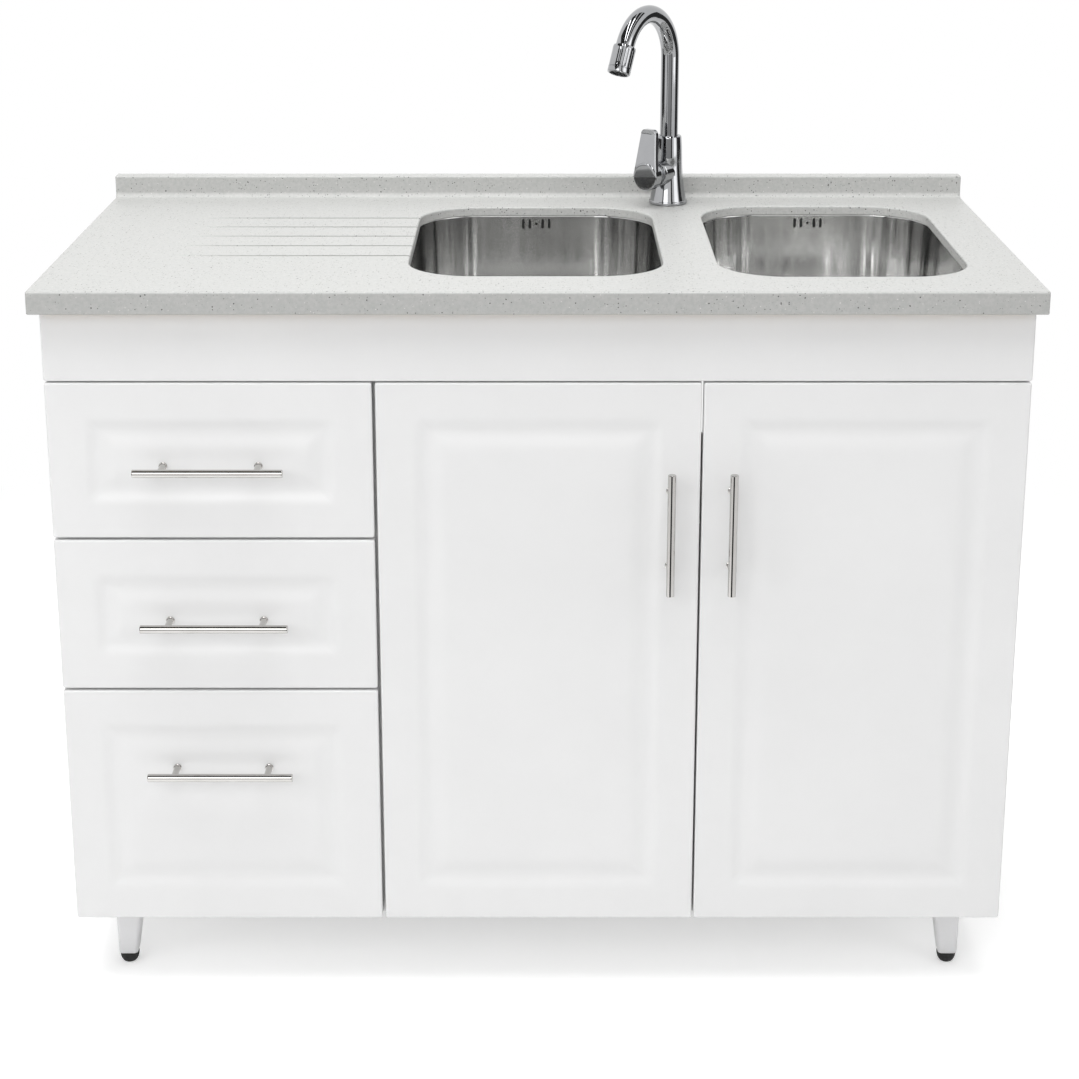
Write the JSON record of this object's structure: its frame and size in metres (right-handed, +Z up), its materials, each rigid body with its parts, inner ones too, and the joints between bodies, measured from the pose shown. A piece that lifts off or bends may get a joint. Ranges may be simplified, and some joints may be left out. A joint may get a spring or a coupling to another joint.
{
  "type": "kitchen sink unit",
  "caption": "Base cabinet on legs with drawers, doors with bar handles, a stone worktop with drainer and upstand, undermount bowls and a single-lever swivel tap.",
  "frame": {"origin": "on the floor under the middle of the unit's outer box", "axes": "+X to the right as seen by a user at the front, +Y to the wall, +Z up"},
  "size_m": [1.2, 0.613, 1.2104],
  "materials": {
    "quartz": "satin speckled engineered stone",
    "underlay_board": "raw particle board",
    "bowl_steel": "satin stainless steel",
    "white_pipe": "moulded polypropylene",
    "tap_chrome": "polished plating",
    "cartridge_steel": "turned",
    "nut_brass": "turned",
    "leg_plastic": "satin moulded",
    "foot_rubber": "matt",
    "plated_steel": "zinc plated",
    "handle_steel": "brushed",
    "drawer_steel": "powder coated",
    "front_foil": "fibreboard under satin white foil",
    "back_hardboard": "white-faced hardboard",
    "melamine_board": "white melamine-faced board"
  },
  "bodies": {
    "unit": {"side_panel_left": "melamine_board", "side_panel_right": "melamine_board", "partition_panel": "melamine_board", "bottom_panel": "melamine_board", "back_panel": "back_hardboard", "rear_rail": "melamine_board", "fascia_board": "front_foil", "worktop": "quartz", "worktop_underlay": "underlay_board", "bowl_left": "bowl_steel", "bowl_right": "bowl_steel", "waste_left": "bowl_steel", "waste_right": "bowl_steel", "trap_pipework": "white_pipe", "tap_body": "tap_chrome", "tap_mounting_nut": "nut_brass", "leg_front_left": "leg_plastic", "leg_front_right": "leg_plastic", "leg_back_left": "leg_plastic", "leg_back_right": "leg_plastic", "foot_front_left": "foot_rubber", "foot_front_right": "foot_rubber", "foot_back_left": "foot_rubber", "foot_back_right": "foot_rubber", "runner_lower_left": "plated_steel", "runner_lower_right": "plated_steel", "runner_middle_left": "plated_steel", "runner_middle_right": "plated_steel", "runner_upper_left": "plated_steel", "runner_upper_right": "plated_steel", "hinge_left_lower": "plated_steel", "hinge_left_upper": "plated_steel", "hinge_right_lower": "plated_steel", "hinge_right_upper": "plated_steel"},
    "upper_drawer": {"drawer_upper_front": "front_foil", "drawer_upper_side_left": "drawer_steel", "drawer_upper_side_right": "drawer_steel", "drawer_upper_bottom": "melamine_board", "drawer_upper_back": "melamine_board", "drawer_upper_handle": "handle_steel"},
    "middle_drawer": {"drawer_middle_front": "front_foil", "drawer_middle_side_left": "drawer_steel", "drawer_middle_side_right": "drawer_steel", "drawer_middle_bottom": "melamine_board", "drawer_middle_back": "melamine_board", "drawer_middle_handle": "handle_steel"},
    "lower_drawer": {"drawer_lower_front": "front_foil", "drawer_lower_side_left": "drawer_steel", "drawer_lower_side_right": "drawer_steel", "drawer_lower_bottom": "melamine_board", "drawer_lower_back": "melamine_board", "drawer_lower_handle": "handle_steel"},
    "left_door": {"door_left": "front_foil", "door_left_handle": "handle_steel"},
    "right_door": {"door_right": "front_foil", "door_right_handle": "handle_steel"},
    "spout": {"tap_spout": "tap_chrome", "tap_nozzle": "tap_chrome"},
    "cartridge": {"tap_cartridge": "cartridge_steel"},
    "lever": {"tap_lever": "tap_chrome"}
  },
  "joints": [
    {"name": "upper_drawer_slide", "type": "slide", "parent": "unit", "child": "upper_drawer", "axis": [0, -1, 0], "range_m": [0, 0.375]},
    {"name": "middle_drawer_slide", "type": "slide", "parent": "unit", "child": "middle_drawer", "axis": [0, -1, 0], "range_m": [0, 0.375]},
    {"name": "lower_drawer_slide", "type": "slide", "parent": "unit", "child": "lower_drawer", "axis": [0, -1, 0], "range_m": [0, 0.375]},
    {"name": "left_door_hinge", "type": "hinge", "parent": "unit", "child": "left_door", "pos_m": [-0.19475, -0.2715, 0.457], "axis": [0, 0, 1], "range_deg": [-100, 0]},
    {"name": "right_door_hinge", "type": "hinge", "parent": "unit", "child": "right_door", "pos_m": [0.58975, -0.2715, 0.457], "axis": [0, 0, 1], "range_deg": [0, 100]},
    {"name": "spout_swivel", "type": "hinge", "parent": "unit", "child": "spout", "pos_m": [0.182, 0.2425, 1.026], "axis": [0, 0, 1], "range_deg": [-50, 100]},
    {"name": "lever_temperature", "type": "hinge", "parent": "unit", "child": "cartridge", "pos_m": [0.15922, 0.21334, 0.975], "axis": [-0.6157, -0.788, 0], "range_deg": [-45, 45]},
    {"name": "lever_flow", "type": "hinge", "parent": "cartridge", "child": "lever", "pos_m": [0.15922, 0.21334, 0.975], "axis": [0.788, -0.6157, 0], "range_deg": [0, 25]}
  ]
}
